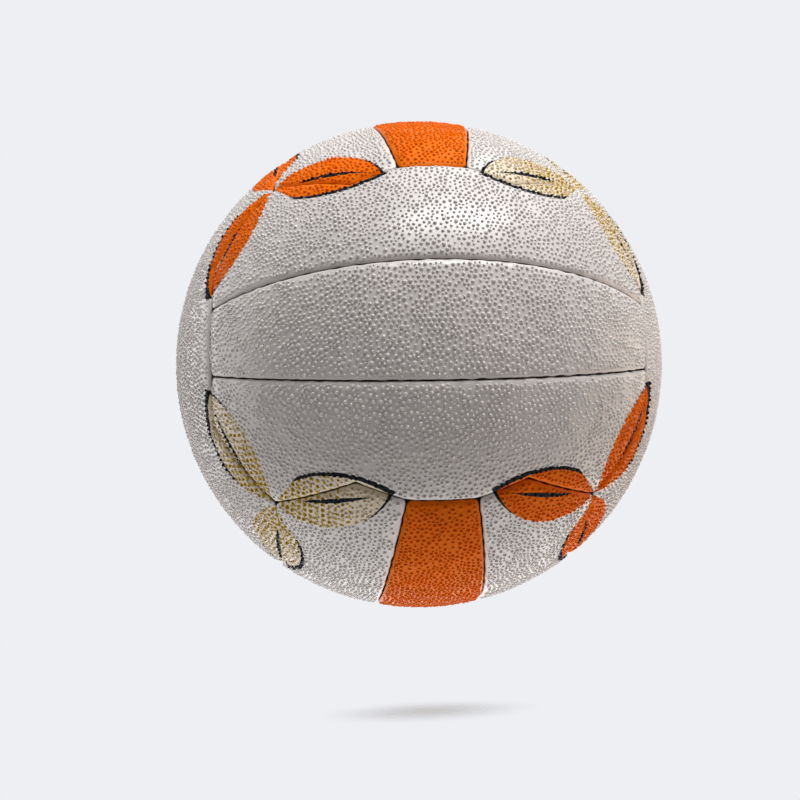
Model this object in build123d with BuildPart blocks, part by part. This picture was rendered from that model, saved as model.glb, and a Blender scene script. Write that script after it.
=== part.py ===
from build123d import *
import os
from math import asin, atan2, cos, degrees, pi, sqrt, tan

# A netball: six groups of three strips, sewn edge to edge round an inflated bladder.
# The origin is the ball's centre, +Z is up, and the valve faces +Y. Sizes are in mm.

# Ball
circumference = 700.0

# Strip outlines, as arcs on the cover's surface
middle_width = 45.7
middle_length = 209.6
point_reach = 6.0
point_station = 57.1

# Cover: a rubber skin whose edges turn in to be sewn, filled behind with a cloth lining
skin_thickness = 1.8
lining_thickness = 2.2
lip_thickness = 1.6
shoulder_radius = 2.5
shoulder_depth = 1.4
corner_relief = 0.3
seam_gap = 0.1
bond_gap = 0.05

# Sewing thread, run between each turned-in edge and the lining
thread_width = 0.6
thread_height = 0.8
thread_gap = 0.05

# Bladder
bladder_wall = 0.8
bladder_gap = 0.1

# Valve: a moulded seat bonded to the bladder, and a plug that the inflating needle goes into
valve_group = "back"
collar_recess = 0.4
collar_wall = 0.85
flange_width = 6.0
flange_thickness = 1.2
stem_wall = 2.55
stem_tail = 2.5
plug_radius = 2.9
plug_length = 15.0
plug_head_overhang = 0.7
plug_head_height = 0.9
needle_radius = 1.0
needle_depth = 6.0
needle_mouth = 0.4
valve_gap = 0.05

# Radii of the ball's layers
ball_radius = circumference / (2 * pi)
skin_inner = ball_radius - skin_thickness
lining_outer = skin_inner - bond_gap
lining_inner = lining_outer - lining_thickness
bladder_outer = lining_inner - bladder_gap
bladder_inner = bladder_outer - bladder_wall
thread_inner = lining_inner + (lining_thickness - thread_height) / 2
thread_outer = thread_inner + thread_height
cover_depth = ball_radius - lining_inner

# How far each piece's wall stands in from the seam
cover_inset = seam_gap / 2
pocket_inset = cover_inset + lip_thickness
thread_inset = pocket_inset + thread_gap
lining_inset = thread_inset + thread_width + thread_gap
shoulder_width = sqrt(shoulder_radius**2 - (shoulder_radius - shoulder_depth) ** 2)

# Valve sizes, along an axis from the ball's centre
collar_top = ball_radius - collar_recess
flange_foot = bladder_outer + bond_gap
flange_top = flange_foot + flange_thickness
plug_foot = collar_top - plug_length
stem_foot = plug_foot - stem_tail
plug_head_radius = plug_radius + plug_head_overhang
collar_radius = plug_head_radius + valve_gap + collar_wall
stem_radius = plug_radius + valve_gap + stem_wall
flange_radius = stem_radius + flange_width

# Every seam lies on a plane through the ball's centre, so each strip is a straight-sided figure
# on the plane that touches the ball at its group's centre. Slopes there are tangents of the arcs.
width_slope = tan(middle_width / 2 / ball_radius)
end_slope = tan(middle_length / 2 / ball_radius)
point_slope = tan((middle_length / 2 + point_reach) / ball_radius)
station_slope = tan(point_station / ball_radius)

middle_outline = [
    (end_slope, -width_slope),
    (end_slope, width_slope),
    (-end_slope, width_slope),
    (-end_slope, -width_slope),
]

# From the middle strip's corner to its own point, the corner that three groups share, then the
# next group's point and the end of that group's middle strip, which both push in from outside.
side_half = [
    (end_slope, width_slope),
    (point_slope, station_slope),
    (1, 1),
    (station_slope / point_slope, 1 / point_slope),
    (width_slope / end_slope, 1 / end_slope),
]
side_outline = side_half + [(-along, across) for along, across in reversed(side_half)]

# Each group's plane: x runs along the strips and z points out of the ball.
group_planes = {
    "front": Plane((0, 0, 0), x_dir=(1, 0, 0), z_dir=(0, -1, 0)),
    "back": Plane((0, 0, 0), x_dir=(-1, 0, 0), z_dir=(0, 1, 0)),
    "left": Plane((0, 0, 0), x_dir=(0, 0, 1), z_dir=(-1, 0, 0)),
    "right": Plane((0, 0, 0), x_dir=(0, 0, -1), z_dir=(1, 0, 0)),
    "top": Plane((0, 0, 0), x_dir=(0, 1, 0), z_dir=(0, 0, 1)),
    "bottom": Plane((0, 0, 0), x_dir=(0, -1, 0), z_dir=(0, 0, -1)),
}

# The two side strips of each group, named for the way they face
side_names = {
    "front": ("upper", "lower"),
    "back": ("upper", "lower"),
    "left": ("back", "front"),
    "right": ("back", "front"),
    "top": ("left", "right"),
    "bottom": ("left", "right"),
}

# Spheres are turned so that their poles lie beside a strip and not on it.
poles_across = (90, 0, 0)
upright = (Align.CENTER, Align.CENTER, Align.MIN)


def seam_section(outer, inner, inset, below, rounded):
    """What a seam takes off a strip's edge: x is the distance from the centre, y from the seam."""
    top = outer + cover_depth
    foot = inner - cover_depth
    if not rounded:
        with BuildLine() as section:
            Polyline((foot, -below), (foot, inset), (top, inset), (top, -below), close=True)
        return section.line
    lean = asin((inset + shoulder_width) / (outer - shoulder_radius))
    centre = ((outer - shoulder_radius) * cos(lean), inset + shoulder_width)
    first = atan2(-shoulder_width, shoulder_radius - shoulder_depth)
    with BuildLine() as section:
        shoulder = CenterArc(centre, shoulder_radius, degrees(first), degrees(lean - first))
        rise = shoulder @ 1
        Polyline(rise, (top, rise.Y), (top, -below), (foot, -below), (foot, inset), shoulder @ 0)
    return section.line


def seam_cutter(start, end, outer, inner, inset, rounded):
    """The ring that cuts a strip's edge along the seam from one direction to another."""
    normal = start.cross(end).normalized()
    with BuildPart() as cutter:
        with BuildSketch(Plane((0, 0, 0), x_dir=start, z_dir=start.cross(normal))):
            add(seam_section(outer, inner, inset, cover_depth, rounded))
            make_face()
        revolve(axis=Axis((0, 0, 0), normal), revolution_arc=start.get_angle(end))
    return cutter.part


def corner_cutter(corner, outer, inner, inset, rounded):
    """The round cutter that eases a corner that turns in, about its line from the centre."""
    with BuildPart() as cutter:
        with BuildSketch(Plane((0, 0, 0), x_dir=corner, z_dir=corner.cross(Vector(0, 0, 1)))):
            add(seam_section(outer, inner, inset + corner_relief, 0, rounded))
            make_face()
        revolve(axis=Axis((0, 0, 0), corner))
    return cutter.part


def strip_block(outline, outer, inner, inset, rounded=False):
    """A strip of a hollow sphere, with its walls set in from the seams' planes."""
    corners = [Vector(along, across, 1).normalized() for along, across in outline]
    following = corners[1:] + corners[:1]
    turned_in = [
        previous.cross(corner).dot(after) < 0
        for previous, corner, after in zip(corners[-1:] + corners[:-1], corners, following)
    ]
    foot = (inner - cover_depth) * min(corner.Z for corner in corners)

    # Cutters run past outward corners and stop at corners that turn in.
    overrun = degrees(cover_depth / outer)
    cutters = []
    for i, (start, end) in enumerate(zip(corners, following)):
        axis = Axis((0, 0, 0), start.cross(end))
        first = start if turned_in[i] else start.rotate(axis, -overrun)
        last = end if turned_in[(i + 1) % len(corners)] else end.rotate(axis, overrun)
        cutters.append(seam_cutter(first, last, outer, inner, inset, rounded))
        if turned_in[i]:
            cutters.append(corner_cutter(start, outer, inner, inset, rounded))

    with BuildPart() as block:
        for height in (foot, outer + cover_depth):
            with BuildSketch(Plane.XY.offset(height)):
                with BuildLine():
                    Polyline([(along * height, across * height) for along, across in outline], close=True)
                make_face()
        loft(ruled=True)
        Sphere(outer, rotation=poles_across, mode=Mode.INTERSECT)
        Sphere(inner, rotation=poles_across, mode=Mode.SUBTRACT)
        add(cutters, mode=Mode.SUBTRACT)
    return block.part


def strip_cover(outline):
    """A cover strip: a skin with rounded shoulders, hollowed behind so that its edges turn in."""
    body = strip_block(outline, ball_radius, lining_inner, cover_inset, rounded=True)
    pocket = strip_block(outline, skin_inner, bladder_inner, pocket_inset)
    with BuildPart() as cover:
        add(body)
        add(pocket, mode=Mode.SUBTRACT)
    return cover.part


def strip_lining(outline):
    """The cloth backing that fills a cover strip behind its skin."""
    return strip_block(outline, lining_outer, lining_inner, lining_inset)


def strip_thread(outline):
    """The thread that holds a strip, in the slot between its turned-in edge and its lining."""
    body = strip_block(outline, thread_outer, thread_inner, thread_inset)
    core = strip_block(outline, lining_outer, lining_inner, thread_inset + thread_width)
    with BuildPart() as loop:
        add(body)
        add(core, mode=Mode.SUBTRACT)
    return loop.part


def cap_section(radius, inner, outer):
    """Half the section of a round cap between two spheres, from its axis out to a radius."""
    with BuildLine() as section:
        under = CenterArc((0, 0), inner, 90, -degrees(asin(radius / inner)))
        over = CenterArc((0, 0), outer, 90, -degrees(asin(radius / outer)))
        Line(under @ 0, over @ 0)
        Line(under @ 1, over @ 1)
    return section.line


def save(piece, name):
    """Label a finished piece and write it to its own file."""
    piece.label = name
    export_step(piece, f"parts/{name}.step")


os.makedirs("parts", exist_ok=True)

# Valve seat: a flange between the bladder and the lining, a collar out through the cover and a
# stem into the bladder, bored for the plug
with BuildPart() as valve_seat:
    with BuildSketch(Plane.XZ):
        add(cap_section(flange_radius, flange_foot, flange_top))
        make_face()
    revolve(axis=Axis.Z)
    with Locations((0, 0, stem_foot)):
        Cylinder(stem_radius, flange_foot - stem_foot, align=upright)
    with Locations((0, 0, flange_foot)):
        Cylinder(collar_radius, collar_top - flange_foot, align=upright)
    with Locations((0, 0, collar_top)):
        CounterBoreHole(
            plug_radius + valve_gap,
            plug_head_radius + valve_gap,
            plug_head_height + valve_gap,
            depth=collar_top - stem_foot,
        )

# Valve plug: a headed stopper with a guide for the needle
with BuildPart() as valve_plug:
    with Locations((0, 0, plug_foot)):
        Cylinder(plug_radius, plug_length, align=upright)
    with Locations((0, 0, collar_top - plug_head_height)):
        Cylinder(plug_head_radius, plug_head_height, align=upright)
    with Locations((0, 0, collar_top)):
        Hole(needle_radius, depth=needle_mouth + needle_depth)
    rims = valve_plug.edges().filter_by(GeomType.CIRCLE).group_by(Axis.Z)[-1]
    chamfer(rims.sort_by(SortBy.RADIUS)[0], needle_mouth)

# Room for the valve in the cover and the lining that it comes up through
with BuildPart() as collar_hole:
    with Locations((0, 0, flange_foot)):
        Cylinder(collar_radius + valve_gap, 2 * cover_depth, align=upright)
with BuildPart() as flange_room:
    with BuildSketch(Plane.XZ):
        add(cap_section(flange_radius + valve_gap, bladder_inner, flange_top + bond_gap))
        make_face()
    revolve(axis=Axis.Z)

# Strips, each made once and then set round the ball group by group
strip_kinds = {
    kind: (strip_cover(outline), strip_lining(outline), strip_thread(outline))
    for kind, outline in (("middle", middle_outline), ("side", side_outline))
}
for group, plane in group_planes.items():
    first_side, second_side = side_names[group]
    strips = [(first_side, "side", 0), ("middle", "middle", 0), (second_side, "side", 180)]
    for strip, kind, turn in strips:
        holds_valve = group == valve_group and strip == "middle"
        cover_part, lining_part, thread_part = strip_kinds[kind]
        with BuildPart(plane) as cover:
            add(cover_part, rotation=(0, 0, turn))
            if holds_valve:
                add(collar_hole.part, mode=Mode.SUBTRACT)
        save(cover.part, f"{group}_{strip}_panel")
        with BuildPart(plane) as lining:
            add(lining_part, rotation=(0, 0, turn))
            if holds_valve:
                add(collar_hole.part, mode=Mode.SUBTRACT)
                add(flange_room.part, mode=Mode.SUBTRACT)
        save(lining.part, f"{group}_{strip}_lining")
    with BuildPart(plane) as thread:
        for strip, kind, turn in strips:
            add(strip_kinds[kind][-1], rotation=(0, 0, turn))
    save(thread.part, f"{group}_thread")

# Bladder, with the hole that the valve's stem goes in by
with BuildPart(group_planes[valve_group]) as bladder:
    Sphere(bladder_outer)
    Sphere(bladder_inner, mode=Mode.SUBTRACT)
    with Locations((0, 0, bladder_outer)):
        Hole(stem_radius + valve_gap, depth=cover_depth)
save(bladder.part, "bladder")

for piece, name in ((valve_seat, "valve_seat"), (valve_plug, "valve_plug")):
    with BuildPart(group_planes[valve_group]) as placed:
        add(piece.part)
    save(placed.part, name)
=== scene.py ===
import math

import bpy
import numpy as np
from bpy.props import FloatProperty, FloatVectorProperty, IntProperty, PointerProperty
from mathutils import Matrix, Vector
from mathutils.geometry import delaunay_2d_cdt


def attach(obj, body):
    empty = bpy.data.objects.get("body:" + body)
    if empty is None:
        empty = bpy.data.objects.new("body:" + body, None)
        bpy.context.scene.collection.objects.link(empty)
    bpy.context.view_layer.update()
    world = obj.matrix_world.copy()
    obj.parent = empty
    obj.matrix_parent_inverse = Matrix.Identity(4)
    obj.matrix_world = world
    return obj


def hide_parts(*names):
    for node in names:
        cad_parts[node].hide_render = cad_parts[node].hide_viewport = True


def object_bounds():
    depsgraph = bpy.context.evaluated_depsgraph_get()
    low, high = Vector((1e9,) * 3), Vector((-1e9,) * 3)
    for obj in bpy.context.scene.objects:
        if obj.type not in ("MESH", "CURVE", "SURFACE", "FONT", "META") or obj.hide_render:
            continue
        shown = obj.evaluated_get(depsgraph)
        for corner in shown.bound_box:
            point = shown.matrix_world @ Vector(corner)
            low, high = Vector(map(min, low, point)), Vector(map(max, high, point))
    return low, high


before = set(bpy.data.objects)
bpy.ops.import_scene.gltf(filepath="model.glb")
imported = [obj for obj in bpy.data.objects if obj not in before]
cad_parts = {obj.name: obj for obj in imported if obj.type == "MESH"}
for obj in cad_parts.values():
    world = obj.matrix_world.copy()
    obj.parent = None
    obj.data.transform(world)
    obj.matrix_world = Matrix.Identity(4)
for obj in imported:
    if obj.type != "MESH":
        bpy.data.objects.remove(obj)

bl_info = {
    "name": "Netball",
    "version": (1, 0, 0),
    "blender": (4, 5, 0),
    "location": "View3D > Sidebar > Netball",
    "description": "Builds a sewn netball with a pebbled grip around its packed frame",
    "category": "Add Mesh",
}

CAD_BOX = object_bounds()
BALL_RADIUS = float(max(CAD_BOX[1]))
MM = 0.001

# Each group of three strips: the way its strips run, the way it faces, and its two side strips
GROUPS = {
    "front": ((1, 0, 0), (0, -1, 0), ("upper", "lower")),
    "back": ((-1, 0, 0), (0, 1, 0), ("upper", "lower")),
    "left": ((0, 0, 1), (-1, 0, 0), ("back", "front")),
    "right": ((0, 0, -1), (1, 0, 0), ("back", "front")),
    "top": ((0, 1, 0), (0, 0, 1), ("left", "right")),
    "bottom": ((0, -1, 0), (0, 0, -1), ("left", "right")),
}
ORANGE_STRIPS = ("top_middle", "bottom_middle")
VALVE_STRIP = "back_middle"


def linear(red, green, blue):
    """A colour written in screen values from 0 to 255, as Blender's linear values."""
    shares = [value / 255 for value in (red, green, blue)]
    return tuple(s / 12.92 if s <= 0.04045 else ((s + 0.055) / 1.055) ** 2.4 for s in shares)


def length(name, description, millimetres):
    """A property that holds a length."""
    return FloatProperty(
        name=name,
        description=description,
        default=millimetres * MM,
        min=0,
        precision=5,
        unit="LENGTH",
    )


def share(name, description, default, top=1.0):
    """A property that holds a plain number."""
    return FloatProperty(name=name, description=description, default=default, min=0, max=top)


def power(name, description, watts):
    """A property that holds a lamp's power."""
    return FloatProperty(name=name, description=description, default=watts, min=0, subtype="POWER")


def colour(name, description, red, green, blue):
    """A property that holds a colour."""
    return FloatVectorProperty(
        name=name,
        description=description,
        default=linear(red, green, blue),
        min=0,
        max=1,
        subtype="COLOR",
    )


def angle(name, description, degrees):
    """A property that holds an angle."""
    return FloatProperty(
        name=name, description=description, default=math.radians(degrees), subtype="ANGLE"
    )


class StripSizes(bpy.types.PropertyGroup):
    """Outlines and edges of the cover's strips."""

    middle_width: length("Middle width", "Width of a middle strip", 45.7)
    middle_length: length("Middle length", "Length of a middle strip", 209.6)
    point_reach: length("Point reach", "How far the points pass the middle strip's ends", 6.0)
    point_station: length("Point station", "From a group's centre line to its points", 57.1)
    skin_thickness: length("Skin", "Thickness of the rubber skin", 1.8)
    cover_depth: length("Edge depth", "Depth of the edges that turn in to be sewn", 4.05)
    lip_thickness: length("Lip", "Thickness of a turned-in edge", 1.6)
    seam_gap: length("Seam gap", "Room between two strips at a seam", 0.1)
    shoulder_radius: length("Shoulder radius", "Rounding of an edge into its seam", 1.6)
    shoulder_depth: length("Shoulder depth", "Depth of that rounding", 1.0)
    grip_start: length("Grip start", "Distance from a seam to the first of the grip", 0.34)
    corner_round: length("Corner rounding", "How far an outward corner's rounding reaches", 1.7)
    edge_wander: length("Edge wander", "How far an edge strays from its seam", 0.5)
    pucker_depth: length("Pucker depth", "Dip of the edge at each stitch", 0.2)
    stitch_pitch: length("Stitch pitch", "Distance from stitch to stitch", 4.6)
    end_sink: length("End sink", "How far strip ends sit below the edge beside them", 0.55)
    valve_hole: length("Valve hole", "Radius of the hole round the valve", 4.55)


class GripSizes(bpy.types.PropertyGroup):
    """The raised pebbles of the grip."""

    ground_drop: length("Ground drop", "Depth of the ground below the ball's radius", 0.15)
    pebble_spacing: length("Spacing", "Mean distance between pebbles", 2.1)
    most_room: length("Most room", "Radius of the largest room that a pebble can fill", 1.06)
    smallest: share("Smallest", "Smallest pebble, as a share of its room", 0.5)
    largest: share("Largest", "Largest pebble, as a share of its room", 0.84)
    steepness: share("Steepness", "Height of a pebble, as a share of its radius", 0.86, 2)
    seed: IntProperty(name="Seed", description="Changes where the pebbles fall", default=7)


class Colours(bpy.types.PropertyGroup):
    """Colours of the cover, its print and the pieces inside."""

    white: colour("White", "Ground colour of the cover", 224, 218, 215)
    orange: colour("Orange", "Orange strips and print", 240, 114, 5)
    cream: colour("Cream", "Cream print", 226, 210, 186)
    ochre: colour("Ochre", "Dots on the cream print", 190, 158, 52)
    keyline: colour("Keyline", "Dark lines of the print", 34, 34, 40)
    # Painted shade: a dark colour for the shade that falls deep in the seams, on the edges that turn in
    seam_shade: colour("Glue", "Dark glue on the edges that turn in", 58, 50, 45)
    lining: colour("Lining", "Cloth behind the strips", 206, 198, 180)
    thread: colour("Thread", "Sewing thread", 62, 60, 60)
    bladder: colour("Bladder", "Rubber of the bladder", 40, 40, 42)
    valve: colour("Valve", "Rubber of the valve", 52, 52, 55)
    floor: colour("Floor", "Floor under the ball", 204, 240, 250)
    backdrop: colour("Backdrop", "Background", 238, 239, 243)


class StageSizes(bpy.types.PropertyGroup):
    """Camera, floor and lights."""

    distance: length("Camera distance", "From the ball's centre to the camera", 446)
    lens: FloatProperty(name="Lens", description="Focal length in millimetres", default=42.2, min=1)
    yaw: angle("Yaw", "Turn of the ball to the camera", 4.9)
    pitch: angle("Pitch", "Tilt of the ball to the camera", -8.66)
    roll: angle("Roll", "Lean of the ball in the picture", -1.7)
    shift_x: FloatProperty(name="Shift X", description="Sideways shift of the frame", default=-0.0235)
    shift_y: FloatProperty(name="Shift Y", description="Upward shift of the frame", default=-0.0447)
    floor_drop: length("Floor drop", "From the ball's centre down to the floor", 158)
    overhead_power: power("Overhead power", "Softbox above the ball", 4.7)
    front_power: power("Front power", "Strip lamp above and before the ball", 4.4)
    bounce_power: power("Bounce power", "Pale card below the ball", 12.8)
    right_power: power("Right power", "Softbox behind the ball on the right", 3.5)
    left_power: power("Left power", "Softbox behind the ball on the left", 4.6)
    ambient: share("Ambient", "Strength of the light from all round", 0.09, 4)


class Tree:
    """Adds nodes to a node tree and joins them as they are added."""

    def __init__(self, tree):
        self.tree = tree

    def node(self, kind, inputs=(), **settings):
        node = self.tree.nodes.new(kind)
        for name, value in settings.items():
            setattr(node, name, value)
        for key, value in dict(inputs).items():
            self.feed(node.inputs[key], value)
        return node

    def feed(self, socket, value):
        if isinstance(value, bpy.types.NodeSocket):
            self.tree.links.new(value, socket)
        else:
            socket.default_value = value

    def math(self, operation, *values):
        return self.node("ShaderNodeMath", enumerate(values), operation=operation).outputs[0]

    def vector(self, operation, *values):
        node = self.tree.nodes.new("ShaderNodeVectorMath")
        node.operation = operation
        for place, value in enumerate(values):
            self.feed(node.inputs["Scale" if operation == "SCALE" and place else place], value)
        return node.outputs["Value" if operation in ("DOT_PRODUCT", "LENGTH") else "Vector"]

    def mix(self, factor, first, second):
        node = self.tree.nodes.new("ShaderNodeMix")
        node.data_type = "RGBA"
        for place, value in ((0, factor), (6, first), (7, second)):
            self.feed(node.inputs[place], value)
        return node.outputs[2]

    def ramp(self, value, low, high, to_low=0.0, to_high=1.0):
        """A smooth step from one value to another."""
        inputs = {"Value": value, "From Min": low, "From Max": high}
        inputs |= {"To Min": to_low, "To Max": to_high}
        kind = "ShaderNodeMapRange"
        return self.node(kind, inputs, interpolation_type="SMOOTHSTEP").outputs[0]


def opaque(values):
    """A colour with full cover, as a colour socket takes it."""
    return (*values, 1.0)


# Finishes

# The print's leaf, its dark rim and its vein, in millimetres and degrees: how far the middle lies
# from the corner and its heading, the lean, and half the length and half the width
LEAF_RIM = (26.8, 26, 4, 27.5, 12.6)
LEAF = (26.0, 24, 2, 25.5, 12.0)
LEAF_VEIN = (30.0, 25, 4, 15.0, 1.0)
PRINT_BLUR = 0.1
DOT_PITCH = 2.6
DOT_BLUR = 0.03
DOT_SIZES = (0.12, 0.36)
DOT_REACH = 0.92

# Gloss of the skin: satin roughness, and the share of light that orange and white throw back
SATIN = (0.22, 0.32)
ORANGE_GLOSS = 0.03
WHITE_GLOSS = 0.5

# Depths between which painted shade, a dark colour for the shade deep in a seam, begins to show on an
# edge that turns in
SEAM_SHADE_DEPTHS = (1.2 * MM, 1.9 * MM)

# Distance from thread to thread in the cloth, and from ply to ply in the sewing thread
WEAVE_PITCH = 0.7 * MM
PLY_PITCH = 0.45 * MM

# Heights of the finest relief
GRAIN_HEIGHT = 0.03 * MM
WEAVE_HEIGHT = 0.12 * MM
PLY_HEIGHT = 0.08 * MM
BLOOM_HEIGHT = 0.02 * MM


def new_material(name):
    """A node material with its shader, output and Object coordinates."""
    material = bpy.data.materials.new(name)
    material.use_nodes = True
    material.node_tree.nodes.clear()
    tree = Tree(material.node_tree)
    shader = tree.node("ShaderNodeBsdfPrincipled")
    output = tree.node("ShaderNodeOutputMaterial")
    tree.tree.links.new(shader.outputs[0], output.inputs[0])
    place = tree.node("ShaderNodeTexCoord").outputs["Object"]
    return material, tree, shader, place


def noise(tree, place, scale, detail=2.0, roughness=0.5):
    """A cloudy value from 0 to 1."""
    inputs = {"Vector": place, "Scale": scale, "Detail": detail, "Roughness": roughness}
    return tree.node("ShaderNodeTexNoise", inputs).outputs["Fac"]


def bump(tree, height, distance, strength=1.0):
    """Fine relief as a bent normal."""
    inputs = {"Height": height, "Distance": distance, "Strength": strength}
    return tree.node("ShaderNodeBump", inputs).outputs[0]


def corner_print(tree, place, ground, colours):
    """The print round each corner that three groups share: three leaves with a dark rim and vein."""
    reach = BALL_RADIUS / MM
    direction = tree.vector("NORMALIZE", place)
    folded = tree.vector("ABSOLUTE", direction)
    corner = Vector((1, 1, 1)).normalized()
    east, north = Vector((1, -1, 0)).normalized(), Vector((1, 1, -2)).normalized()

    # One third of the way round a corner holds one leaf, and the other two thirds are turned onto it
    x, y, z = tree.node("ShaderNodeSeparateXYZ", {0: folded}).outputs
    thirds = [
        tree.node("ShaderNodeCombineXYZ", enumerate(axes)).outputs[0]
        for axes in ((x, y, z), (y, z, x), (z, x, y))
    ]
    x_least = tree.math("LESS_THAN", x, tree.math("MINIMUM", y, z))
    z_least = tree.math("LESS_THAN", z, tree.math("MINIMUM", x, y))
    third = tree.mix(z_least, tree.mix(x_least, thirds[2], thirds[1]), thirds[0])

    def leaf(away, heading, lean, half_length, half_width):
        """A leaf between two rounds of the ball, with its middle some way from the corner."""
        away, half_length, half_width = away / reach, half_length / reach, half_width / reach
        way = east * math.sin(math.radians(heading)) + north * math.cos(math.radians(heading))
        middle = corner * math.cos(away) + way * math.sin(away)
        along = way * math.cos(away) - corner * math.sin(away)
        across = Matrix.Rotation(math.radians(lean), 3, middle) @ middle.cross(along)
        aside = math.atan((math.cos(half_width) - math.cos(half_length)) / math.sin(half_width))
        rounds = [middle * math.cos(aside) + side * across * math.sin(aside) for side in (-1, 1)]
        cosines = [tree.vector("DOT_PRODUCT", third, centre) for centre in rounds]
        turns = [tree.math("ARCCOSINE", tree.math("MINIMUM", cosine, 1.0)) for cosine in cosines]
        inside_by = tree.math("SUBTRACT", aside + half_width, tree.math("MAXIMUM", *turns))
        return tree.ramp(inside_by, -PRINT_BLUR / reach, PRINT_BLUR / reach)

    # Halftone dots for the cream leaves, smaller towards the tips
    across = [tree.vector("DOT_PRODUCT", third, way) for way in (east, north)]
    rows = [tree.math("FRACT", tree.math("MULTIPLY", value, reach / DOT_PITCH)) for value in across]
    cells = [tree.math("SUBTRACT", row, 0.5) for row in rows]
    squares = [tree.math("POWER", cell, 2.0) for cell in cells]
    from_dot = tree.math("SQRT", tree.math("ADD", *squares))
    dot_size = tree.ramp(tree.vector("DOT_PRODUCT", third, corner), DOT_REACH, 1.0, *DOT_SIZES)
    dots = tree.ramp(tree.math("SUBTRACT", dot_size, from_dot), -DOT_BLUR, DOT_BLUR)
    cream = tree.mix(dots, opaque(colours.cream), opaque(colours.ochre))

    # Orange and cream take turns from corner to corner
    parts = tree.node("ShaderNodeSeparateXYZ", {0: direction}).outputs
    product = tree.math("MULTIPLY", tree.math("MULTIPLY", *parts[:2]), parts[2])
    turn = tree.math("GREATER_THAN", product, 0.0)
    paint, keyline = tree.mix(turn, cream, opaque(colours.orange)), opaque(colours.keyline)
    printed = ground
    for shape, tone in ((LEAF_RIM, keyline), (LEAF, paint), (LEAF_VEIN, keyline)):
        printed = tree.mix(leaf(*shape), printed, tone)
    return printed


def grip_material(name, base, colours, printed):
    """Satin rubber skin with a faint cloudy tone, fine grain and, on the white strips, a print."""
    material, tree, shader, place = new_material(name)
    cloud = noise(tree, place, 38.0, 3.0)
    grain = noise(tree, place, 2600.0, 2.0, 0.6)
    darker = opaque([value * 0.93 for value in base])
    ground = tree.mix(tree.ramp(cloud, 0.35, 0.65), darker, opaque(base))
    if printed:
        ground = corner_print(tree, place, ground, colours)
    # Painted shade: the skin darkens below a set depth, deep in the seams where shade falls
    depth = tree.math("SUBTRACT", BALL_RADIUS, tree.vector("LENGTH", place))
    ground = tree.mix(tree.ramp(depth, *SEAM_SHADE_DEPTHS), ground, opaque(colours.seam_shade))
    tree.feed(shader.inputs["Base Color"], ground)
    tree.feed(shader.inputs["Roughness"], tree.ramp(grain, 0.2, 0.8, *SATIN))
    tree.feed(shader.inputs["Normal"], bump(tree, grain, GRAIN_HEIGHT, 0.5))
    gloss = shader.inputs["Specular IOR Level"]
    if printed:
        # The less blue a colour holds, the less white light it throws back
        blue = tree.node("ShaderNodeSeparateColor", {0: ground}).outputs["Blue"]
        tree.feed(gloss, tree.ramp(blue, 0.0, 0.5, ORANGE_GLOSS, WHITE_GLOSS))
    else:
        gloss.default_value = ORANGE_GLOSS
    return material


def cloth_material(name, base):
    """Plain-woven cotton backing, in two thread directions."""
    material, tree, shader, place = new_material(name)
    split = tree.node("ShaderNodeSeparateXYZ", {0: place}).outputs
    turns = [tree.math("MULTIPLY", axis, 2 * math.pi / WEAVE_PITCH) for axis in split]
    waves = [tree.math("SINE", turn) for turn in turns]
    weave = tree.math("MULTIPLY", tree.math("MULTIPLY", waves[0], waves[1]), waves[2])
    tone = tree.ramp(noise(tree, place, 90.0, 4.0), 0.3, 0.7)
    worn = opaque([value * 0.8 for value in base])
    tree.feed(shader.inputs["Base Color"], tree.mix(tone, worn, opaque(base)))
    tree.feed(shader.inputs["Normal"], bump(tree, weave, WEAVE_HEIGHT))
    shader.inputs["Roughness"].default_value = 0.92
    return material


def thread_material(name, base):
    """Waxed twisted thread."""
    material, tree, shader, place = new_material(name)
    total = tree.vector("DOT_PRODUCT", place, (1, 1, 1))
    ply = tree.math("SINE", tree.math("MULTIPLY", total, 2 * math.pi / PLY_PITCH))
    light = opaque([min(1.0, value * 1.7) for value in base])
    tone = tree.mix(tree.ramp(ply, -0.6, 0.9), opaque(base), light)
    tree.feed(shader.inputs["Base Color"], tone)
    tree.feed(shader.inputs["Normal"], bump(tree, ply, PLY_HEIGHT))
    shader.inputs["Roughness"].default_value = 0.55
    return material


def rubber_material(name, base, mottle):
    """Moulded rubber with a faint mottle and a dry bloom."""
    material, tree, shader, place = new_material(name)
    patches = noise(tree, place, mottle, 4.0, 0.6)
    fine = noise(tree, place, 3000.0, 2.0)
    bloom = opaque([min(1.0, value * 1.5 + 0.004) for value in base])
    tone = tree.mix(tree.ramp(patches, 0.4, 0.75), opaque(base), bloom)
    tree.feed(shader.inputs["Base Color"], tone)
    tree.feed(shader.inputs["Roughness"], tree.ramp(patches, 0.3, 0.7, 0.42, 0.62))
    tree.feed(shader.inputs["Normal"], bump(tree, fine, BLOOM_HEIGHT, 0.6))
    return material


# Strips

# Section of the valve hole's rim, in millimetres: distance from the hole and depth below the ground
HOLE_RIM = ((1.1, 0.0), (0.6, 0.06), (0.2, 0.24), (0.0, 0.55))
HOLE_POINTS = 48

# Places on an edge over which a corner's rounding fades
CORNER_FADE = 4.0

# How the pebbles spread: rows and jitter of the first grid and clearance of a border, as shares of the
# spacing; rounds of easing, and the share of the way that each one moves them
HEX_ROW = 0.866
JITTER = 0.95
FIELD_CLEARANCE = 0.48
FIELD_EASING = 4
EASING_SHARE = 0.55

# How the outer rows are drawn to a border: the draw in millimetres, its reach as a share of the spacing,
# and where it stops as a share of the clearance
FIELD_DRAW = 0.75
DRAW_REACH = 2.6
DRAW_STOP = 0.8

# Spacing and clearance of the points on the inside of the skin, in millimetres
INSIDE_SPACING = 9.0
INSIDE_CLEARANCE = 4.0

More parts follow.
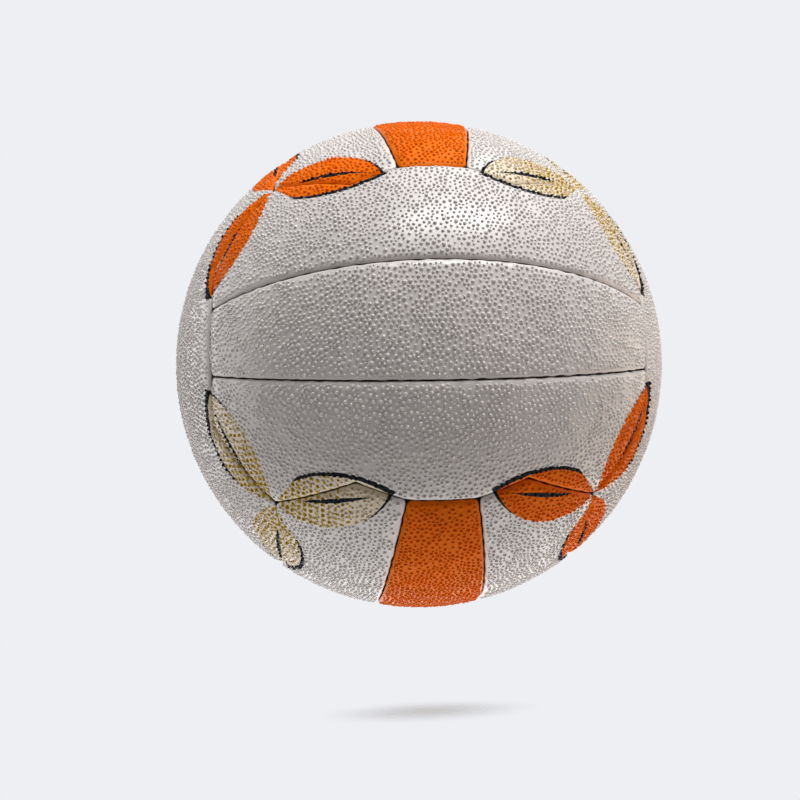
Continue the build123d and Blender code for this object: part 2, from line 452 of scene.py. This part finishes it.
# How far an edge's dips reach into the strip, in millimetres, and how fast they fade
DIP_REACH = 3.2
DIP_FALL = 1.3

# Height of the pebbles beside an edge: the first ones' share, and where it starts to rise and how fast
FIRST_SHARE = 0.4
RISE_START = 0.3
RISE_WIDTH = 1.0

# A pebble's rings, from its foot up: shares of its radius and of its height
PEBBLE_RINGS = ((1.0, 0.0), (0.9, 0.45), (0.6, 0.86))
LEAST_SLOPE = 0.8
LEAST_HEIGHT = 0.01 * MM
MERGE_DISTANCE = 0.012 * MM

# Folds sharper than this, in radians, are a pebble's foot and stay crisp
FOOT_FOLD = -0.5


def unit(vector):
    """A vector, or rows of vectors, at length one."""
    return vector / np.linalg.norm(vector, axis=-1, keepdims=True)


def strip_corners(sizes, kind):
    """A strip's corners, as directions in its group's frame: along, across and out."""
    width = math.tan(sizes.middle_width / 2 / BALL_RADIUS)
    end = math.tan(sizes.middle_length / 2 / BALL_RADIUS)
    point = math.tan((sizes.middle_length / 2 + sizes.point_reach) / BALL_RADIUS)
    station = math.tan(sizes.point_station / BALL_RADIUS)
    if kind == "middle":
        outline = [(end, -width), (end, width), (-end, width), (-end, -width)]
        ends = [True, False, True, False]
    else:
        half = [(end, width), (point, station), (1, 1)]
        half += [(station / point, 1 / point), (width / end, 1 / end)]
        outline = half + [(-along, across) for along, across in reversed(half)]
        ends = [True, True] + [False] * 5 + [True, True] + [False]
    return unit(np.array([(along, across, 1.0) for along, across in outline])), ends


def shoulder_width(sizes):
    """How far a shoulder's rounding reaches from its seam."""
    radius = sizes.shoulder_radius
    return math.sqrt(radius**2 - (radius - sizes.shoulder_depth) ** 2)


def seam_profile(sizes, ground):
    """An edge's section from the grip into the seam and round the lip: radius, offset, looseness."""
    inset = sizes.seam_gap / 2
    radius, width = sizes.shoulder_radius, shoulder_width(sizes)
    lean = math.asin((inset + width) / (ground - radius))
    centre = ((ground - radius) * math.cos(lean), inset + width)
    first = math.asin((sizes.grip_start - inset - width) / radius)
    last = math.atan2(-width, radius - sizes.shoulder_depth)
    section = []
    for step in range(4):
        turn = first + (last - first) * step / 3
        place = (centre[0] + radius * math.cos(turn), centre[1] + radius * math.sin(turn))
        section.append((*place, 1.0))
    foot = BALL_RADIUS - sizes.cover_depth
    lip = inset + sizes.lip_thickness
    section.append((BALL_RADIUS - 0.65 * sizes.cover_depth, inset, 0.6))
    section.append((foot, inset, 0.0))
    section.append((foot, lip, 0.0))
    section.append((BALL_RADIUS - sizes.skin_thickness, lip, 0.0))
    return [(math.hypot(x, y), y, loose) for x, y, loose in section]


def mitre(before, after, corner, radius, offset):
    """The point near a corner, at a radius, that lies at one offset from two seam planes."""
    ridge = np.cross(before, after)
    spread = offset / (1 + before @ after)
    base = spread * (before + after)
    rise = math.sqrt(radius**2 - base @ base) / np.linalg.norm(ridge)
    sign = 1 if ridge @ corner > 0 else -1
    return base + sign * rise * ridge


def ripple(rng, count, slow, fast, waves=9):
    """A smooth random line round a loop, from 0 to 1."""
    turn = np.linspace(0, 2 * math.pi, count, endpoint=False)
    line = 0
    for _ in range(waves):
        line = line + np.cos(rng.integers(slow, fast) * turn + rng.uniform(0, 2 * math.pi))
    return 0.5 + 0.5 * line / np.abs(line).max()


def smooth_loop(line, spread):
    """A loop's values averaged over their neighbours."""
    reach = math.ceil(4 * spread)
    steps = np.arange(-reach, reach + 1)
    weights = np.exp(-0.5 * (steps / spread) ** 2)
    weights = weights / weights.sum()
    return sum(weight * np.roll(line, -step, axis=0) for weight, step in zip(weights, steps))


def edge_loops(sizes, grip, corners, ends, rng):
    """The strip's edge as closed loops, from the border of its grip to the inside of its skin."""
    ground = BALL_RADIUS - grip.ground_drop
    following = np.roll(corners, -1, axis=0)
    normals = unit(np.cross(corners, following))
    spans = np.arccos(np.sum(corners * following, axis=1)) * BALL_RADIUS
    counts = [2 * max(2, round(span / grip.pebble_spacing)) for span in spans]
    total = sum(counts)
    starts = np.cumsum([0] + counts[:-1])
    bends = [np.cross(normals[i - 1], normals[i]) @ corners[i] for i in range(len(corners))]

    wander = sizes.edge_wander * ripple(rng, total, total // 14, total // 5)
    stitches = round(spans.sum() / sizes.stitch_pitch)
    beat = 0.5 + 0.5 * np.cos(np.linspace(0, 2 * math.pi * stitches, total, endpoint=False))
    pucker = sizes.pucker_depth * beat * ripple(rng, total, total // 20, total // 8)
    at_end = np.repeat(np.array(ends, float), counts)
    sink = sizes.end_sink * smooth_loop(at_end, 2) + pucker
    near_corner = np.zeros(total)
    for start, bend in zip(starts, bends):
        if bend > 0:
            apart = np.abs((np.arange(total) - start + total // 2) % total - total // 2)
            near_corner = np.maximum(near_corner, np.exp(-((apart / CORNER_FADE) ** 2)))

    loops = []
    for radius, offset, loose in seam_profile(sizes, ground):
        places = []
        for i, count in enumerate(counts):
            corner, normal, after = corners[i], normals[i], normals[(i + 1) % len(corners)]
            first = mitre(normals[i - 1], normal, corner, radius, offset)
            last = mitre(normal, after, following[i], radius, offset)
            side = unit(np.cross(normal, corner))
            turns = [math.atan2(point @ side, point @ corner) for point in (first, last)]
            turn = np.linspace(turns[0], turns[1], count, endpoint=False)[:, None]
            flat = math.sqrt(radius**2 - offset**2)
            places.append(offset * normal + flat * (np.cos(turn) * corner + np.sin(turn) * side))
        loop = np.concatenate(places)
        inward = np.repeat(normals, counts, axis=0)
        loop = loop + (loose * wander)[:, None] * inward
        rounded = smooth_loop(loop, sizes.corner_round / grip.pebble_spacing * 2)
        loop = loop + (near_corner * min(1.0, loose + 0.4))[:, None] * (rounded - loop)
        loops.append(unit(loop) * (radius - loose * sink)[:, None])
    return loops, sink


def hole_loops(sizes, grip):
    """The loops round the valve's hole, from the border of the grip to the inside of the skin."""
    hole = sizes.valve_hole
    ground = BALL_RADIUS - grip.ground_drop
    under = BALL_RADIUS - sizes.skin_thickness
    turn = np.linspace(0, -2 * math.pi, HOLE_POINTS, endpoint=False)
    section = [(hole + out * MM, ground - down * MM) for out, down in HOLE_RIM] + [(hole, under)]
    loops = []
    for wide, radius in section:
        level = 0 * turn + math.sqrt(radius**2 - wide**2)
        loops.append(np.stack([wide * np.cos(turn), wide * np.sin(turn), level], axis=1))
    return loops


def flat_map(points, centre, east, north):
    """Places on a sphere laid flat with their angles kept, in millimetres."""
    ways = unit(points)
    scale = 2 * BALL_RADIUS / MM / (1 + ways @ centre)
    return np.stack([scale * (ways @ east), scale * (ways @ north)], axis=1)


def lift_map(flat, centre, east, north, radius):
    """The way back from the flat map to a sphere."""
    half = np.linalg.norm(flat, axis=1, keepdims=True) * MM / (2 * BALL_RADIUS)
    out = (1 - half**2) / (1 + half**2)
    scale = (1 + out) * MM / (2 * BALL_RADIUS)
    return radius * unit(out * centre + scale * (flat[:, :1] * east + flat[:, 1:] * north))


def inside(points, loops):
    """Which flat points lie in the area that the loops bound."""
    crossings = np.zeros(len(points), int)
    for loop in loops:
        start, end = loop, np.roll(loop, -1, axis=0)
        level = points[:, 1:]
        spans = (start[:, 1] > level) != (end[:, 1] > level)
        rise = np.where(end[:, 1] == start[:, 1], 1e-12, end[:, 1] - start[:, 1])
        at = start[:, 0] + (level - start[:, 1]) * (end[:, 0] - start[:, 0]) / rise
        crossings += np.sum(spans & (points[:, :1] < at), axis=1)
    return crossings % 2 == 1


def nearest(points, border):
    """Each flat point's distance to a border, and the place on it."""
    apart = np.linalg.norm(points[:, None] - border[None], axis=2)
    return apart.min(axis=1), apart.argmin(axis=1)


def triangulate(points, loops):
    """Triangles between flat points, inside the loops that come first among them."""
    edges, start = [], 0
    for loop in loops:
        count = len(loop)
        edges += [(start + i, start + (i + 1) % count) for i in range(count)]
        start += count
    flat = [Vector(point) for point in points]
    verts, _, faces, originals, _, _ = delaunay_2d_cdt(flat, edges, [], 0, 1e-6)
    if len(verts) != len(points):
        raise RuntimeError("a strip's outline crosses itself")
    order = np.array([ids[0] for ids in originals])
    triangles = order[np.array(faces)]
    a, b, c = (points[triangles[:, i]] for i in range(3))
    area = (b[:, 0] - a[:, 0]) * (c[:, 1] - a[:, 1]) - (b[:, 1] - a[:, 1]) * (c[:, 0] - a[:, 0])
    triangles[area < 0] = triangles[area < 0][:, ::-1]
    return triangles[inside((a + b + c) / 3, loops)]


def scatter(loops, spacing, clear, rng, easing, draw):
    """Flat points spread evenly but without order inside the loops."""
    border = np.concatenate(loops)
    low, high = border.min(axis=0), border.max(axis=0)
    rows = np.arange(low[1], high[1], spacing * HEX_ROW)
    columns = np.arange(low[0], high[0], spacing)
    places = [(x + (row % 2) * spacing / 2, y) for row, y in enumerate(rows) for x in columns]
    grid = np.array(places)
    grid += rng.uniform(-0.5, 0.5, grid.shape) * spacing * JITTER

    # The flat map stretches away from its centre, so points thin out there to keep their spacing
    stretch = 1 + (np.linalg.norm(grid, axis=1) * MM / (2 * BALL_RADIUS)) ** 2
    grid = grid[rng.uniform(0, 1, len(grid)) < 1 / stretch**2]
    grid = grid[inside(grid, loops)]
    grid = grid[nearest(grid, border)[0] > clear]
    for _ in range(easing):
        everything = np.concatenate([border, grid])
        triangles = triangulate(everything, loops)
        total, count = np.zeros_like(everything), np.zeros((len(everything), 1))
        for i, j in ((0, 1), (1, 2), (2, 0), (1, 0), (2, 1), (0, 2)):
            np.add.at(total, triangles[:, i], everything[triangles[:, j]])
            np.add.at(count, triangles[:, i], 1)
        moved = everything + EASING_SHARE * (total / np.maximum(count, 1) - everything)
        moved = moved[len(border):]
        keep = nearest(moved, border)[0] > clear
        grid = np.where(keep[:, None], moved, grid)

    # Easing leaves the first row far from the border, so the outer rows are drawn back to it
    shares = np.linspace(0, 1, 4, endpoint=False)[:, None, None]
    finer = [loop + shares * (np.roll(loop, -1, axis=0) - loop) for loop in loops]
    fine = np.concatenate([loop.reshape(-1, 2) for loop in finer])
    apart, beside = nearest(grid, fine)
    pull = draw * np.clip(1 - apart / (DRAW_REACH * spacing), 0, 1)
    shift = np.minimum(pull, np.clip(apart - DRAW_STOP * clear, 0, None))
    return grid + (fine[beside] - grid) * (shift / apart)[:, None]


def strip_mesh(name, sizes, grip, kind, frame_axes, holed, seed):
    """One strip as a closed skin: a field for the pebbles, edges that turn in, and its inside."""
    rng = np.random.default_rng(seed)
    corners, ends = strip_corners(sizes, kind)
    loops, sink = edge_loops(sizes, grip, corners, ends, rng)

    # The field's border takes every second place, and the edge meets it halfway between
    border = loops[0][0::2]
    loops[0][1::2] = (border + np.roll(border, -1, axis=0)) / 2
    chains, borders, unders = [loops], [border], [loops[-1]]
    if holed:
        ring = hole_loops(sizes, grip)
        rim = ring[0][0::2]
        ring[0][1::2] = (rim + np.roll(rim, -1, axis=0)) / 2
        chains.append(ring)
        borders.append(rim)
        unders.append(ring[-1])

    centre = unit(loops[0].mean(axis=0))
    east = unit(np.cross((0.0, 1.0, 0.0), centre))
    axes = (centre, east, np.cross(centre, east))
    points, faces, is_field, fade = [], [], [], []
    count = 0

    def add_points(places, values):
        nonlocal count
        points.append(places)
        fade.append(np.broadcast_to(np.asarray(values, float), len(places)))
        count += len(places)
        return np.arange(count - len(places), count)

    def add_faces(rows, in_field):
        faces.extend(rows.tolist())
        is_field.extend([in_field] * len(rows))

    chain_ids = []
    for chain in chains:
        ids = [add_points(loop, 0.0) for loop in chain]
        chain_ids.append(ids)
        for near, far in zip(ids, ids[1:]):
            rows = np.stack([near, far, np.roll(far, -1), np.roll(near, -1)], axis=1)
            add_faces(rows, False)

    # The pebbles' field
    flat_borders = [flat_map(places, *axes) for places in borders]
    clear = FIELD_CLEARANCE * grip.pebble_spacing / MM
    flat = scatter(flat_borders, grip.pebble_spacing / MM, clear, rng, FIELD_EASING, FIELD_DRAW)
    apart, beside = nearest(flat, flat_borders[0])
    to_edge = nearest(flat, np.concatenate(flat_borders))[0]
    ground = BALL_RADIUS - grip.ground_drop
    dip = sink[0::2][beside] * np.exp(-((apart / DIP_REACH) ** DIP_FALL))
    short = np.clip(shoulder_width(sizes) - sizes.grip_start - apart * MM, 0, None)
    dip += sizes.shoulder_radius - np.sqrt(sizes.shoulder_radius**2 - short**2)
    places = lift_map(flat, *axes, 1.0) * (ground - dip)[:, None]
    rise = np.clip((to_edge - RISE_START) / RISE_WIDTH, 0, 1)
    added = add_points(places, FIRST_SHARE + (1 - FIRST_SHARE) * rise)
    ids = np.concatenate([chain[0][0::2] for chain in chain_ids] + [added])
    field = triangulate(np.concatenate(flat_borders + [flat]), flat_borders)
    add_faces(ids[field], True)

    # The inside of the skin
    flat_unders = [flat_map(places, *axes) for places in unders]
    flat = scatter(flat_unders, INSIDE_SPACING, INSIDE_CLEARANCE, rng, 1, 0.0)
    places = lift_map(flat, *axes, BALL_RADIUS - sizes.skin_thickness)
    ids = np.concatenate([chain[-1] for chain in chain_ids] + [add_points(places, 0.0)])
    back = triangulate(np.concatenate(flat_unders + [flat]), flat_unders)
    add_faces(ids[back][:, ::-1], False)

    mesh = bpy.data.meshes.new(name)
    mesh.from_pydata(np.concatenate(points) @ frame_axes, [], faces)
    flag = mesh.attributes.new("pebble_field", "BOOLEAN", "FACE")
    flag.data.foreach_set("value", is_field)
    ease = mesh.attributes.new("pebble_fade", "FLOAT", "POINT")
    ease.data.foreach_set("value", np.concatenate(fade).astype(np.float32))
    return mesh


def pebble_tree():
    """Geometry nodes that raise a round pebble on every cell of a strip's field."""
    group = bpy.data.node_groups.new("pebbled_grip", "GeometryNodeTree")
    sockets = {}
    for name, kind in (
        ("Strip", "NodeSocketGeometry"),
        ("Most Room", "NodeSocketFloat"),
        ("Smallest", "NodeSocketFloat"),
        ("Largest", "NodeSocketFloat"),
        ("Steepness", "NodeSocketFloat"),
        ("Seed", "NodeSocketInt"),
        ("Skin", "NodeSocketMaterial"),
    ):
        socket = group.interface.new_socket(name=name, in_out="INPUT", socket_type=kind)
        sockets[name] = socket.identifier
    group.interface.new_socket(name="Grip", in_out="OUTPUT", socket_type="NodeSocketGeometry")
    tree = Tree(group)
    given = tree.node("NodeGroupInput").outputs

    def attribute(name, kind="FLOAT"):
        node = tree.node("GeometryNodeInputNamedAttribute", {"Name": name}, data_type=kind)
        return node.outputs[0]

    def keep(geometry, name, value, kind="FLOAT"):
        inputs = {"Geometry": geometry, "Name": name, "Value": value}
        node = tree.node(
            "GeometryNodeStoreNamedAttribute", inputs, data_type=kind, domain="FACE"
        )
        return node.outputs[0]

    def chance(low, high, shift):
        seed = tree.math("ADD", given["Seed"], shift)
        inputs = {"Min_001": low, "Max_001": high, "Seed": seed}
        node = tree.node("FunctionNodeRandomValue", (), data_type="FLOAT")
        for socket in node.inputs:
            if socket.identifier in inputs:
                tree.feed(socket, inputs[socket.identifier])
        return node.outputs[1]

    def compare(operation, value, limit):
        return tree.node("FunctionNodeCompare", {0: value, 1: limit}, operation=operation).outputs[0]

    parts = tree.node(
        "GeometryNodeSeparateGeometry",
        {"Geometry": given["Strip"], "Selection": attribute("pebble_field", "BOOLEAN")},
        domain="FACE",
    )
    inputs = {"Mesh": parts.outputs[0], "Keep Boundaries": True}
    cells = tree.node("GeometryNodeDualMesh", inputs).outputs[0]
    position = tree.node("GeometryNodeInputPosition").outputs[0]

    # Each cell's middle, and the radius and height of the pebble on it
    area = tree.node("GeometryNodeInputMeshFaceArea").outputs[0]
    room = tree.math("SQRT", tree.math("DIVIDE", area, math.pi))
    room = tree.math("MINIMUM", room, given["Most Room"])
    radius = tree.math("MULTIPLY", room, chance(given["Smallest"], given["Largest"], 0))
    slope = tree.math("MULTIPLY", given["Steepness"], chance(LEAST_SLOPE, 1.0, 1))
    fade = tree.ramp(attribute("pebble_fade"), 0.2, 0.9)
    height = tree.math("MULTIPLY", tree.math("MULTIPLY", radius, slope), fade)
    cells = keep(cells, "pebble_middle", position, "FLOAT_VECTOR")
    cells = keep(cells, "pebble_radius", radius)
    cells = keep(cells, "pebble_height", height)

    middle = attribute("pebble_middle", "FLOAT_VECTOR")
    wide, tall = attribute("pebble_radius"), attribute("pebble_height")
    outward = tree.vector("NORMALIZE", tree.vector("SUBTRACT", position, middle))
    upward = tree.vector("NORMALIZE", middle)
    chosen = compare("GREATER_THAN", tall, LEAST_HEIGHT)
    for reach, level in PEBBLE_RINGS:
        raised = tree.node(
            "GeometryNodeExtrudeMesh",
            {"Mesh": cells, "Selection": chosen, "Offset Scale": 0.0, "Individual": True},
            mode="FACES",
        )
        chosen = raised.outputs["Top"]
        spread = tree.vector("SCALE", outward, tree.math("MULTIPLY", wide, reach))
        lift = tree.vector("SCALE", upward, tree.math("MULTIPLY", tall, level))
        goal = tree.vector("ADD", tree.vector("ADD", middle, spread), lift)
        inputs = {"Geometry": raised.outputs[0], "Selection": chosen, "Position": goal}
        cells = tree.node("GeometryNodeSetPosition", inputs).outputs[0]

    joined = tree.node("GeometryNodeJoinGeometry")
    for piece in (cells, parts.outputs[1]):
        tree.tree.links.new(piece, joined.inputs[0])
    inputs = {"Geometry": joined.outputs[0], "Distance": MERGE_DISTANCE}
    skin = tree.node("GeometryNodeMergeByDistance", inputs).outputs[0]
    inputs = {"Geometry": skin, "Shade Smooth": True}
    skin = tree.node("GeometryNodeSetShadeSmooth", inputs).outputs[0]
    fold = tree.node("GeometryNodeInputMeshEdgeAngle").outputs["Signed Angle"]
    foot = compare("LESS_THAN", fold, FOOT_FOLD)
    inputs = {"Geometry": skin, "Selection": foot, "Shade Smooth": False}
    skin = tree.node("GeometryNodeSetShadeSmooth", inputs, domain="EDGE").outputs[0]
    skin = tree.node("GeometryNodeRealizeInstances", {"Geometry": skin}).outputs[0]
    inputs = {"Geometry": skin, "Material": given["Skin"]}
    skin = tree.node("GeometryNodeSetMaterial", inputs).outputs[0]
    tree.node("NodeGroupOutput", {0: skin})
    return group, sockets


def make_strip(context, strip, kind, turned, group, tree, sockets, material):
    """One strip, raised with pebbles, in place of its CAD node."""
    sizes = context.scene.netball_strips
    grip = context.scene.netball_grip
    along, out, _ = GROUPS[group]
    out = np.array(out, float)
    along = np.array(along, float) * (-1 if turned else 1)
    axes = np.stack([along, np.cross(out, along), out])
    name = f"{group}_{strip}"
    seed = grip.seed * 1000 + sum(ord(letter) * place for place, letter in enumerate(name, 1))
    mesh = strip_mesh(name, sizes, grip, kind, axes, name == VALVE_STRIP, seed)
    piece = bpy.data.objects.new(f"{name}_grip", mesh)
    context.scene.collection.objects.link(piece)

    modifier = piece.modifiers.new("Grip", "NODES")
    modifier.node_group = tree
    for socket, value in (
        ("Most Room", grip.most_room),
        ("Smallest", grip.smallest),
        ("Largest", grip.largest),
        ("Steepness", grip.steepness),
        ("Seed", seed),
        ("Skin", material),
    ):
        modifier[sockets[socket]] = value
    context.view_layer.update()
    shaped = piece.evaluated_get(context.evaluated_depsgraph_get())
    plain = bpy.data.meshes.new_from_object(shaped)
    piece.modifiers.remove(modifier)
    piece.data = plain
    bpy.data.meshes.remove(mesh)
    plain.name = piece.name
    spent = [layer.name for layer in plain.attributes if layer.name.startswith("pebble_")]
    for layer in spent:
        plain.attributes.remove(plain.attributes[layer])
    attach(piece, "root")
    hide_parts(f"{name}_panel")


def make_strips(context, kind):
    """All the strips of one kind, in the six groups."""
    colours = context.scene.netball_colours
    skins = []
    for name, base, printed in (
        ("white_grip_skin", colours.white, True),
        ("orange_grip_skin", colours.orange, False),
    ):
        made = bpy.data.materials.get(name)
        skins.append(made or grip_material(name, base, colours, printed))
    white, orange = skins
    tree, sockets = pebble_tree()
    for group, (_, _, sides) in GROUPS.items():
        strips = ["middle"] if kind == "middle" else sides
        for turned, strip in enumerate(strips):
            is_orange = f"{group}_{strip}" in ORANGE_STRIPS
            material, slot = (orange, "orange_grip") if is_orange else (white, "white_grip")
            make_strip(context, strip, kind, turned, group, tree, sockets, material)


def finish_nodes(ending, material):
    """Give a finish to every CAD node whose name has an ending."""
    found = [node for name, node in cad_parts.items() if name.endswith(ending)]
    if not found:
        raise RuntimeError(f"the frame has no node that ends in {ending}")
    for node in found:
        node.data.materials.clear()
        node.data.materials.append(material)


class NETBALL_OT_middle_strips(bpy.types.Operator):
    """Make the four-sided middle strip of each group"""

    bl_idname = "netball.middle_strips"
    bl_label = "Middle strips"

    def execute(self, context):
        make_strips(context, "middle")
        return {"FINISHED"}


class NETBALL_OT_side_strips(bpy.types.Operator):
    """Make the two pointed side strips of each group"""

    bl_idname = "netball.side_strips"
    bl_label = "Side strips"

    def execute(self, context):
        make_strips(context, "side")
        return {"FINISHED"}


class NETBALL_OT_linings(bpy.types.Operator):
    """Finish the cloth linings behind the strips"""

    bl_idname = "netball.linings"
    bl_label = "Cloth linings"

    def execute(self, context):
        colours = context.scene.netball_colours
        finish_nodes("_lining", cloth_material("backing_cloth", colours.lining))
        return {"FINISHED"}


class NETBALL_OT_threads(bpy.types.Operator):
    """Finish the sewing thread in the seams"""

    bl_idname = "netball.threads"
    bl_label = "Sewing thread"

    def execute(self, context):
        colours = context.scene.netball_colours
        finish_nodes("_thread", thread_material("waxed_thread", colours.thread))
        return {"FINISHED"}


class NETBALL_OT_bladder(bpy.types.Operator):
    """Finish the bladder"""

    bl_idname = "netball.bladder"
    bl_label = "Bladder"

    def execute(self, context):
        colours = context.scene.netball_colours
        finish_nodes("bladder", rubber_material("bladder_rubber_skin", colours.bladder, 60.0))
        return {"FINISHED"}


class NETBALL_OT_valve(bpy.types.Operator):
    """Finish the valve's seat and stopper"""

    bl_idname = "netball.valve"
    bl_label = "Valve"

    def execute(self, context):
        tone = context.scene.netball_colours.valve
        lighter = [value * 1.4 for value in tone]
        finish_nodes("valve_seat", rubber_material("valve_seat_rubber", tone, 400.0))
        finish_nodes("valve_plug", rubber_material("valve_plug_rubber", lighter, 700.0))
        return {"FINISHED"}


# Stage

# The floor's disc, and the place in its middle that takes the shadow: its reach, how much shorter it is
# from front to back, and its cover
FLOOR_RADIUS = 0.3
FLOOR_POINTS = 64
SHADOW_REACH = 0.055
SHADOW_SQUEEZE = 2.2
SHADOW_COVER = 0.5

# Lights, in metres from the ball's centre: place, width and height, and tint
NEUTRAL, WARM = (1, 1, 1), (1, 0.74, 0.54)
LAMPS = {
    "overhead": ((0.28, -0.22, 0.9), (0.8, 0.8), NEUTRAL),
    "front": ((0.14, -0.45, 0.65), (0.56, 0.1), NEUTRAL),
    "bounce": ((0.06, 0.24, -0.72), (1.8, 1.8), NEUTRAL),
    "right": ((0.87, 0.15, -0.2), (0.9, 0.9), WARM),
    "left": ((-0.85, 0.27, 0.1), (0.9, 0.9), NEUTRAL),
}
AMBIENT_TINT = (1, 0.93, 0.87)
SENSOR_WIDTH = 36
NEAREST_SEEN = 0.01


def make_floor(context):
    """A pale round floor that fades into the backdrop and takes the ball's shadow."""
    stage = context.scene.netball_stage
    colours = context.scene.netball_colours
    mesh = bpy.data.meshes.new("floor")
    turn = np.linspace(0, 2 * math.pi, FLOOR_POINTS, endpoint=False)
    level = 0 * turn - stage.floor_drop
    rim = np.stack([FLOOR_RADIUS * np.cos(turn), FLOOR_RADIUS * np.sin(turn), level], axis=1)
    mesh.from_pydata(rim.tolist(), [], [list(range(FLOOR_POINTS))])
    floor = bpy.data.objects.new("floor", mesh)
    context.scene.collection.objects.link(floor)
    material = bpy.data.materials.new("pale_floor")
    material.use_nodes = True
    material.node_tree.nodes.clear()
    tree = Tree(material.node_tree)
    place = tree.node("ShaderNodeTexCoord").outputs["Object"]
    flat = tree.vector("MULTIPLY", place, (1, SHADOW_SQUEEZE, 0))
    solid = tree.ramp(tree.vector("LENGTH", flat), 0.0, SHADOW_REACH, SHADOW_COVER, 0.0)
    pale = tree.node("ShaderNodeBsdfDiffuse", {"Color": opaque(colours.floor)}).outputs[0]
    clear = tree.node("ShaderNodeBsdfTransparent").outputs[0]
    shown = tree.node("ShaderNodeMixShader", {0: solid, 1: clear, 2: pale}).outputs[0]
    tree.node("ShaderNodeOutputMaterial", {0: shown})
    mesh.materials.append(material)


def make_world(context):
    """Even light from all round, with the backdrop's own colour where it is seen."""
    stage = context.scene.netball_stage
    backdrop = opaque(context.scene.netball_colours.backdrop)
    world = bpy.data.worlds.new("studio")
    world.use_nodes = True
    world.node_tree.nodes.clear()
    tree = Tree(world.node_tree)
    path = tree.node("ShaderNodeLightPath").outputs
    seen = tree.math("MAXIMUM", path["Is Camera Ray"], path["Is Transmission Ray"])
    seen = tree.math("MAXIMUM", seen, path["Is Glossy Ray"])
    ambient = {0: opaque(AMBIENT_TINT), 1: stage.ambient}
    lit = tree.node("ShaderNodeBackground", ambient).outputs[0]
    shown = tree.node("ShaderNodeBackground", {0: backdrop, 1: 1.0}).outputs[0]
    both = tree.node("ShaderNodeMixShader", {0: seen, 1: lit, 2: shown}).outputs[0]
    tree.node("ShaderNodeOutputWorld", {0: both})
    context.scene.world = world


def add_softbox(context, name, place, size, watts, tint):
    """A softbox of some width and height that points at the ball's centre."""
    data = bpy.data.lights.new(name, "AREA")
    data.shape = "RECTANGLE"
    data.size, data.size_y = size
    data.energy = watts
    data.color = tint
    lamp = bpy.data.objects.new(name, data)
    lamp.location = place
    lamp.rotation_euler = (-Vector(place)).to_track_quat("-Z", "Y").to_euler()
    context.scene.collection.objects.link(lamp)


def add_camera(context):
    """The camera at the photograph's angle: the ball's turn, tilt and lean as it sees them."""
    stage = context.scene.netball_stage
    roll, pitch, yaw = (
        Matrix.Rotation(turn, 3, axis)
        for turn, axis in ((stage.roll, "Y"), (stage.pitch, "X"), (stage.yaw, "Z"))
    )
    view = (roll @ pitch @ yaw).transposed()
    right, ahead, up = (view @ Vector(axis) for axis in ((1, 0, 0), (0, 1, 0), (0, 0, 1)))
    data = bpy.data.cameras.new("camera")
    data.lens = stage.lens
    data.sensor_width = SENSOR_WIDTH
    data.shift_x, data.shift_y = stage.shift_x, stage.shift_y
    data.clip_start = NEAREST_SEEN
    camera = bpy.data.objects.new("camera", data)
    turn = Matrix((right, up, -ahead)).transposed().to_4x4()
    camera.matrix_world = Matrix.Translation(-stage.distance * ahead) @ turn
    context.scene.collection.objects.link(camera)
    context.scene.camera = camera


class NETBALL_OT_stage(bpy.types.Operator):
    """Set up the floor, backdrop, lights and camera"""

    bl_idname = "netball.stage"
    bl_label = "Stage"

    def execute(self, context):
        stage = context.scene.netball_stage
        context.scene.view_settings.view_transform = "Standard"
        make_floor(context)
        make_world(context)
        for name, (place, size, tint) in LAMPS.items():
            add_softbox(context, name, place, size, getattr(stage, f"{name}_power"), tint)
        add_camera(context)
        return {"FINISHED"}


OPERATORS = (
    NETBALL_OT_middle_strips,
    NETBALL_OT_side_strips,
    NETBALL_OT_linings,
    NETBALL_OT_threads,
    NETBALL_OT_bladder,
    NETBALL_OT_valve,
    NETBALL_OT_stage,
)
SETTINGS = {
    "netball_strips": StripSizes,
    "netball_grip": GripSizes,
    "netball_colours": Colours,
    "netball_stage": StageSizes,
}


class NETBALL_PT_panel(bpy.types.Panel):
    """Sizes, colours and steps of the netball"""

    bl_label = "Netball"
    bl_idname = "NETBALL_PT_panel"
    bl_space_type = "VIEW_3D"
    bl_region_type = "UI"
    bl_category = "Netball"

    def draw(self, context):
        for holder, kind in SETTINGS.items():
            box = self.layout.box()
            box.label(text=kind.__doc__)
            for name in kind.__annotations__:
                box.prop(getattr(context.scene, holder), name)
        for operator in OPERATORS:
            self.layout.operator(operator.bl_idname)


CLASSES = (*SETTINGS.values(), *OPERATORS, NETBALL_PT_panel)


def register():
    """Add the add-on's classes and settings."""
    for kind in CLASSES:
        bpy.utils.register_class(kind)
    for holder, kind in SETTINGS.items():
        setattr(bpy.types.Scene, holder, PointerProperty(type=kind))


def unregister():
    """Take them away again."""
    for holder in SETTINGS:
        delattr(bpy.types.Scene, holder)
    for kind in reversed(CLASSES):
        bpy.utils.unregister_class(kind)


def main():
    """Build the ball step by step."""
    register()
    bpy.ops.netball.middle_strips()
    bpy.ops.netball.side_strips()
    bpy.ops.netball.linings()
    bpy.ops.netball.threads()
    bpy.ops.netball.bladder()
    bpy.ops.netball.valve()
    bpy.ops.netball.stage()


if __name__ == "__main__":
    main()
